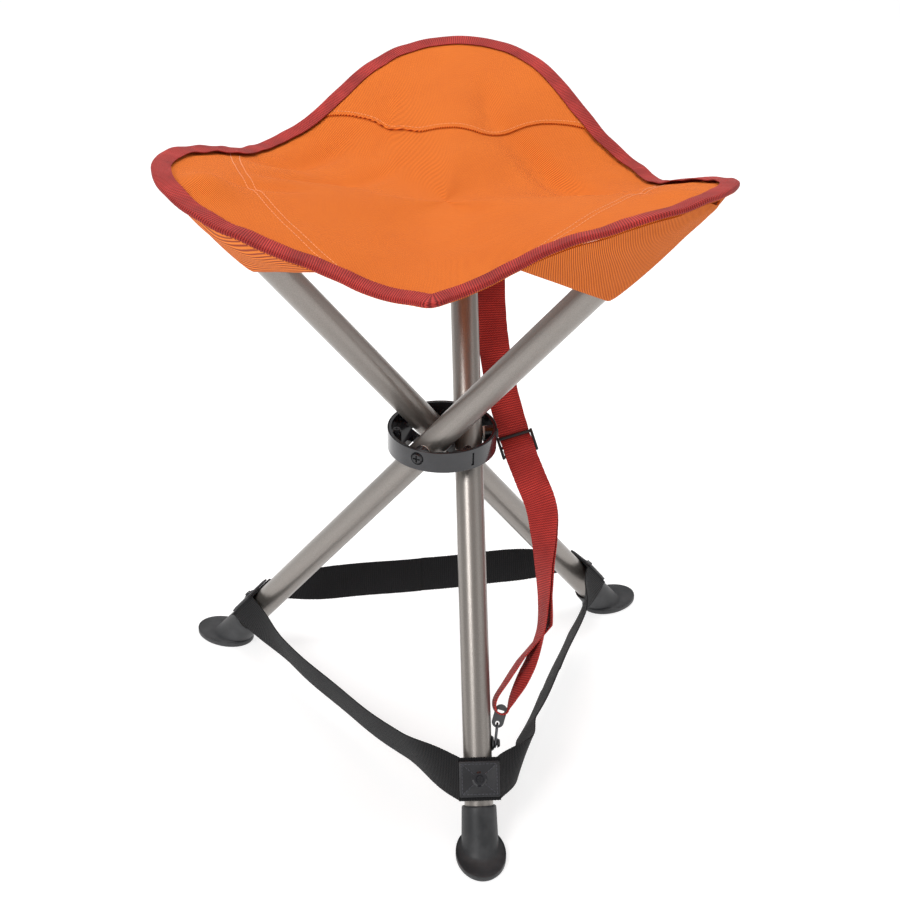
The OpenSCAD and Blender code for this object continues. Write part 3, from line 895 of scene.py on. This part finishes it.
# ---------- stretcher ----------

WEB_W = 32 * MM
WEB_T = 1.8 * MM
PATCH_S = 0.268
PATCH_W, PATCH_H, PATCH_T = 31 * MM, 27 * MM, 1.7 * MM
RUN_SAG = {1: 16 * MM, 2: 1 * MM, 3: 14 * MM}
# Lean of each run's top edge away from the stool at the middle of the run
RUN_LEAN = {1: math.radians(15), 2: math.radians(9), 3: math.radians(27)}
# How far the front leg's right half leaves its patch sideways before it turns back
PATCH_KICK = 9 * MM


def patch_edge(k, way):
    """The middle of the webbing where it leaves the patch on leg k."""
    return leg_frame(k) @ Vector((way * (PATCH_W / 2 - 1 * MM), -(TUBE_R + 1.1 * MM), -PATCH_S))


def make_stretcher_half(k, side, material):
    """One half of a stretcher run, from the patch on leg k to the middle of the run."""
    way = -1 if side == "left" else 1
    run = k if side == "left" else (k + 1) % 3 + 1
    other = (k % 3 + 1) if side == "left" else run
    here, there = patch_edge(k, way), patch_edge(other, -way)
    level = (there - here).normalized()
    outer = level.cross(UP) * (1 if side == "right" else -1)
    if outer.dot((here + there) / 2 - hub) < 0:
        outer = -outer
    tube_way = leg_frame(k).to_3x3().col[2]
    leaning = UP * math.cos(RUN_LEAN[run]) + outer * math.sin(RUN_LEAN[run])
    route, across = [], []
    for t in spread(0, 0.5, 110):
        share = min(1.0, t / 0.24)
        share = share * share * (3 - 2 * share)
        ripple = 0.6 * MM * math.sin(19 * t + k)
        place = here.lerp(there, t) - UP * RUN_SAG[run] * 4 * t * (1 - t) + outer * ripple * min(1.0, 4 * t)
        if k == 1 and side == "right":
            place += outer * PATCH_KICK * math.sin(math.pi * min(1.0, t / 0.26)) ** 1.5
        route.append(place)
        across.append(tube_way.lerp(leaning, share).normalized())
    band = band_piece(f"stretcher_webbing_{k}_{side}", route, across, WEB_W, WEB_T, material, teeth=0.35 * MM)
    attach(band, f"stretcher_{k}_{side}")
    tuple(here)
    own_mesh(band)
    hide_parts(f"stretcher_{k}_{side}")


def rounded_plate(name, width, height, thickness, matrix, material, corner, rise):
    """A flat plate in local XZ with rounded corners and edges; +Y is its back, and rise lifts its face."""
    outline = []
    for sx, sz, start in ((1, 1, 0), (-1, 1, 90), (-1, -1, 180), (1, -1, 270)):
        for b in range(start, start + 91, 15):
            outline.append((sx * (width / 2 - corner) + corner * math.cos(math.radians(b)),
                            sz * (height / 2 - corner) + corner * math.sin(math.radians(b))))
    rings = ((1.0, 0.0), (1.0, -0.7 * thickness), (0.985, -0.93 * thickness), (0.95, -thickness))
    inner = [0.9 - 0.1 * i for i in range(9)]
    points = [Vector((x * f, y, z * f)) for f, y in rings for x, z in outline]
    points += [Vector((x * f, -thickness - rise(x * f, z * f), z * f)) for f in inner for x, z in outline]
    faces = ring_faces(len(rings) + len(inner), len(outline))
    plate = mesh_piece(name, [matrix @ p for p in points], faces, material)
    face_outwards(plate)
    return plate


def make_patch(k, vinyl_look, webbing_look, thread):
    """The sewn vinyl patch, its border and cross stitching, and the webbing under it."""
    place = leg_frame(k) @ Matrix.Translation((0, -(TUBE_R + 2.0 * MM), -PATCH_S))

    def rise(x, z):
        """The vinyl is pulled in along its stitch lines and dished under the screw."""
        border = min(PATCH_W / 2 - abs(x), PATCH_H / 2 - abs(z))
        near = math.exp(-((border - 2.2 * MM) / (0.9 * MM)) ** 2)
        cross = abs(abs(x) / PATCH_W - abs(z) / PATCH_H) * PATCH_H * 0.7
        valley = math.exp(-(cross / (1.0 * MM)) ** 2)
        return 0.5 * MM - 0.45 * MM * max(near, valley)
    plate = rounded_plate(f"stretcher_patch_vinyl_{k}", PATCH_W, PATCH_H, PATCH_T, place, vinyl_look,
                          1.2 * MM, rise)
    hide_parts(f"stretcher_patch_{k}")
    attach(plate, f"leg_{k}")
    x, z = PATCH_W / 2 - 2.2 * MM, PATCH_H / 2 - 2.2 * MM
    front = -PATCH_T - 0.25 * MM
    up = place.to_3x3() @ Vector((0, -1, 0))
    rows = []
    corners = ((-x, -z), (x, -z), (x, z), (-x, z))
    for i, (a, b) in enumerate(((0, 1), (1, 2), (2, 3), (3, 0), (0, 2), (3, 1))):
        (x1, z1), (x2, z2) = corners[a], corners[b]
        line = [place @ Vector((x1 + (x2 - x1) * t, front, z1 + (z2 - z1) * t)) for t in spread(0, 1, 40)]
        rows.append(stitches(f"row_{i}", line, [up] * len(line), 2.8 * MM, 2.2 * MM, 0.34 * MM, thread))
    sewing = join(f"stretcher_patch_stitches_{k}", rows)
    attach(sewing, f"leg_{k}")
    reach = PATCH_W / 2 + 0.6 * MM
    route = [place @ Vector((-reach + 2 * reach * t, 0.95 * MM, 0)) for t in spread(0, 1, 30)]
    along = place.to_3x3().col[2]
    strip = band_piece(f"stretcher_patch_webbing_{k}", route, [along] * len(route), WEB_W, WEB_T,
                       webbing_look, teeth=0.35 * MM)
    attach(strip, f"leg_{k}")


# ---------- boots ----------

# Rings of the boot: the centre's outward distance from the hub and height over the floor, the radius across
# and along the lean, and the tilt of the ring's plane. The neck's rings come between the lip and the sole.
BOOT_INSIDE = ((186.0, 18.1, 11.25, 11.25, 38.4), (180.2, 25.4, 11.25, 11.25, 38.4),
               (179.2, 26.7, 11.9, 11.9, 38.4))
BOOT_LIP = ((178.9, 26.9, 12.6, 12.6, 38.4), (179.3, 26.6, 13.2, 13.2, 38.4))
BOOT_SOLE = ((197.0, 4.9, 14.5, 18.7, 0), (198.2, 4.3, 15.4, 19.7, 0), (203.5, 4.0, 18.0, 25.2, 0),
             (204.7, 4.6, 18.6, 26.3, 0), (205.4, 4.4, 19.1, 27.0, 0), (205.5, 3.7, 19.2, 27.2, 0),
             (205.5, 1.0, 19.2, 27.2, 0), (205.5, 0.2, 18.6, 26.6, 0), (205.5, 0.0, 17.6, 25.6, 0))
# The neck: its radius at the lip and how much it grows, where down the leg it starts, and how much further
# its front and its back reach, all in millimetres
NECK_R, NECK_GROWTH, NECK_START, NECK_FRONT, NECK_BACK = 13.4, 0.8, 290, 37, 15.5


def boot_neck():
    """Rings down the boot's straight neck, turning from square across the leg to level with the floor."""
    rings = []
    slope, rise = math.sin(fold_angle), math.cos(fold_angle)
    for t in spread(0, 1, 8):
        r = NECK_R + NECK_GROWTH * t
        front, back = NECK_START + NECK_FRONT * t, NECK_START + NECK_BACK * t
        out1, up1 = front * slope + r * rise, hub.z / MM - front * rise + r * slope
        out2, up2 = back * slope - r * rise, hub.z / MM - back * rise - r * slope
        half = math.hypot(out1 - out2, up1 - up2) / 2
        tilt = math.degrees(math.atan2(up1 - up2, out1 - out2))
        rings.append(((out1 + out2) / 2, (up1 + up2) / 2, r, half, tilt))
    return tuple(rings)


def make_boot(k, material):
    frame_k = side_frame(k)
    n, points = 72, []
    rings = BOOT_INSIDE + BOOT_LIP + boot_neck() + BOOT_SOLE
    for out, height, across, along, lean in rings:
        tilt = math.radians(lean)
        centre = Vector((LEG_OFFSET, -out * MM, height * MM - hub.z))
        for j in range(n):
            b = math.tau * j / n
            x, y = across * MM * math.cos(b), along * MM * math.sin(b)
            points.append(frame_k @ (centre + Vector((x, -y * math.cos(tilt), y * math.sin(tilt)))))
    boot = mesh_piece(f"boot_{k}", points, ring_faces(len(rings), n), material)
    face_outwards(boot, math.radians(50))
    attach(boot, f"leg_{k}")
    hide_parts(f"leg_{k}_foot")


# ---------- carry strap ----------

STRAP_W = 25 * MM
STRAP_T = 1.5 * MM
# The strap's route in the first leg's frame, in millimetres: off the leg, towards its back, and along it
STRAP_ROUTE = ((17, 17, 262), (20, 17, 235), (22, 18, 190), (23, 21, 145), (23, 23, 107), (25, 23, 75),
               (31, 22, 35), (41, 20, -6), (50, 18, -33), (58, 16, -57), (59, 14, -80), (58, 13, -105),
               (57, 11, -130), (54, 8, -153), (46, 4, -176), (37, 1, -194), (29, 0, -208), (25, 0, -216))
# Turn of the strap's width about its route at each of those points, in degrees
STRAP_TURN = (0, 0, 0, 0, 0, 0, 0, 0, 5, 20, 45, 65, 76, 80, 72, 66, 72, 84)
# Through the clip's eye and back up behind it to the second strand
STRAP_LOOP = ((23, 0, -219.3), (19, 0, -220), (14.6, 0.5, -216.5), (15.5, 3, -208), (24, 6, -196),
              (37, 9, -178))
SLIDER_POINT = 7
REJOIN_POINT = 13
TAIL_GAP = 2.4 * MM
STRAP_SAMPLES = 16
# Where along the route the strap starts to narrow for the clip's eye, and its width there
NARROW_POINT = 14.5
EYE_W = 8 * MM


def strap_path():
    """The strap's smooth route, its width direction and the way to its back, in the leg's frame."""
    places = smooth_route([Vector(p) * MM for p in STRAP_ROUTE], STRAP_SAMPLES)
    turns = smooth_route([Vector((a, 0)) for a in STRAP_TURN], STRAP_SAMPLES)
    across, behind = [], []
    for i, place in enumerate(places):
        t = (places[min(i + 1, len(places) - 1)] - places[max(i - 1, 0)]).normalized()
        flat = t.cross(Vector((1, 0, 0)).cross(t)).normalized()
        a = math.radians(turns[i].x)
        across.append((flat * math.cos(a) + t.cross(flat) * math.sin(a)).normalized())
        normal = t.cross(across[-1]).normalized()
        behind.append(normal if normal.dot(behind[-1] if behind else Vector((0, 1, 0))) > 0 else -normal)
    return places, across, behind


def make_carry_strap(material):
    """The whole strap: down in front, through the clip, and back up behind to the slider."""
    places, across, behind = strap_path()
    slider, rejoin = SLIDER_POINT * STRAP_SAMPLES, REJOIN_POINT * STRAP_SAMPLES
    route, sides, widths = [], [], []
    for i, (place, side, away) in enumerate(zip(places, across, behind)):
        along = (i - slider) / STRAP_SAMPLES
        # the strap passes behind the slider's upper bar and in front of its middle one
        over = -2.8 * MM * math.exp(-((along - 0.09) / 0.2) ** 2)
        over += 2.6 * MM * math.exp(-((along + 0.2) / 0.09) ** 2)
        route.append(place + away * over)
        sides.append(side)
        widths.append(STRAP_W - (STRAP_W - EYE_W) * max(0.0, (i / STRAP_SAMPLES - NARROW_POINT) / 2.5))
    loop = smooth_route([places[-1], *(Vector(p) * MM for p in STRAP_LOOP)], STRAP_SAMPLES)[1:]
    for i, place in enumerate(loop):
        share = i / len(loop)
        route.append(place)
        sides.append(across[-1].lerp(across[rejoin], max(0.0, 2 * share - 1)).normalized())
        widths.append(EYE_W + (STRAP_W - EYE_W) * max(0.0, min(1.0, (share - 0.42) / 0.5)))
    for i in range(rejoin, slider, -1):
        share = min(1.0, (rejoin - i) / STRAP_SAMPLES)
        gap = TAIL_GAP * (2.2 - 1.2 * share)
        route.append(places[i] + behind[i] * gap)
        sides.append(across[i])
        widths.append(STRAP_W * 0.97)
    place = leg_frame(1)
    turn = place.to_3x3()
    strap = band_piece("carry_strap_webbing", [place @ p for p in route], [turn @ w for w in sides], widths,
                       STRAP_T, material, teeth=0.25 * MM)
    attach(strap, "leg_1")
    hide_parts("carry_strap")


def rounded_bar(start, end, width, depth, face, material):
    """A bar from start to end with an oblong section; face is the direction its depth runs along."""
    along = (end - start).normalized()
    wide = face.cross(along).normalized()
    n, points = 16, []
    bevel = along * 0.5 * MM
    for place, shrink in ((start, 0.7), (start + bevel, 1.0), (end - bevel, 1.0), (end, 0.7)):
        for i in range(n):
            b = math.tau * i / n
            c, d = math.cos(b), math.sin(b)
            x = math.copysign(abs(c) ** 0.6, c) * width / 2 * shrink
            y = math.copysign(abs(d) ** 0.6, d) * depth / 2 * shrink
            points.append(place + wide * x + face * y)
    bar = mesh_piece("bar", points, ring_faces(4, n), material)
    face_outwards(bar)
    return bar


def make_slider(material):
    """The strap's ladder-lock: three bars across the strap and one along each of its edges."""
    places, across, behind = strap_path()
    i = SLIDER_POINT * STRAP_SAMPLES
    frame_1 = leg_frame(1)
    turn = frame_1.to_3x3()
    centre, side, away = frame_1 @ places[i], turn @ across[i], turn @ behind[i]
    along = (frame_1 @ places[i + 1] - frame_1 @ places[i - 1]).normalized()
    reach = STRAP_W / 2 + 1.6 * MM
    bars = []
    for shift in (-7.5 * MM, 0.0, 7.5 * MM):
        middle = centre + along * shift
        half = side * reach
        bars.append(rounded_bar(middle - half, middle + half, 2.4 * MM, 1.6 * MM, away, material))
    for edge in (-reach, reach):
        middle = centre + side * edge
        half = along * 9.2 * MM
        bars.append(rounded_bar(middle - half, middle + half, 2.2 * MM, 2.4 * MM, away, material))
    slider = join("strap_ladder_lock", bars)
    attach(slider, "leg_1")
    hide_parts("strap_slider")


# ---------- build ----------

make_camera()
make_studio()
twill = twill_material()
binding_tape = webbing_material("red_ribbed_tape", (0.13, 0.005, 0.005), (0.72, 0.062, 0.048), 1.6 * MM, 0.7)
red_webbing = webbing_material("red_webbing_weave", (0.25, 0.014, 0.012), (0.78, 0.07, 0.058), 1.9 * MM, 0.68)
black_webbing = webbing_material("black_webbing_weave", (0.003, 0.003, 0.0035), (0.016, 0.016, 0.018),
                                 1.9 * MM, 0.75)
tube_paint = painted_tube_material()
gloss_black = gloss_plastic_material()
matt_black = matt_plastic_material("matt_black", (0.014, 0.014, 0.016), 0.45)
nylon = matt_plastic_material("nylon_white", (0.6, 0.6, 0.56), 0.45)
clip_grey = matt_plastic_material("clip_grey", (0.06, 0.062, 0.066), 0.42)
rubber = rubber_material()
vinyl = vinyl_material()
dark_steel = steel_material("black_steel", (0.12, 0.12, 0.13), 0.34)
# near-black matt screws; on the pivot screws inside the hub this is painted shade that hides their steel
dark_screw = matt_plastic_material("dark_screws_and_pivot_shade", (0.012, 0.012, 0.014), 0.3)
red_thread = thread_material("red_thread", (0.22, 0.02, 0.02))
orange_thread = thread_material("orange_thread", (0.95, 0.36, 0.12))
black_thread = thread_material("black_thread", (0.06, 0.06, 0.075))


def paint(node, material):
    """Gives a CAD node its finished material."""
    obj = frame["nodes"][node]
    for slot in obj.material_slots:
        slot.material = material
    if not obj.material_slots:
        obj.data.materials.append(material)


for k in SIDES:
    cloth = make_seat_cloth(k, twill)
    sewn = make_binding(k, binding_tape, red_thread)
    if k != 1:
        sewn += make_corner_seams(k, orange_thread)
    cut_size(cloth, corner_frame(k))
    make_pocket(k, twill, orange_thread)
    make_sleeve(k, twill)
    make_patch(k, vinyl, black_webbing, black_thread)
    make_boot(k, rubber)
    for side in ("left", "right"):
        make_stretcher_half(k, side, black_webbing)
    paint(f"leg_{k}_tube", tube_paint)
    paint(f"leg_{k}_end_cap", matt_black)
    paint(f"seat_screw_{k}", dark_screw)
    paint(f"stretcher_screw_{k}", gloss_black)
make_back_flap(twill, orange_thread)
make_carry_strap(red_webbing)
make_slider(matt_black)
for node, material in (
        ("hub_ring", gloss_black), ("hub_spider", gloss_black), ("hub_spider_screws", dark_screw),
        # the pivot screws take the near-black screw material as painted shade inside the hub
        ("pivot_screws", dark_screw), ("pivot_washers", nylon), ("carry_strap_tab", red_webbing),
        ("strap_clip", clip_grey), ("strap_ring", dark_steel), ("strap_anchor_screw", dark_screw)):
    paint(node, material)
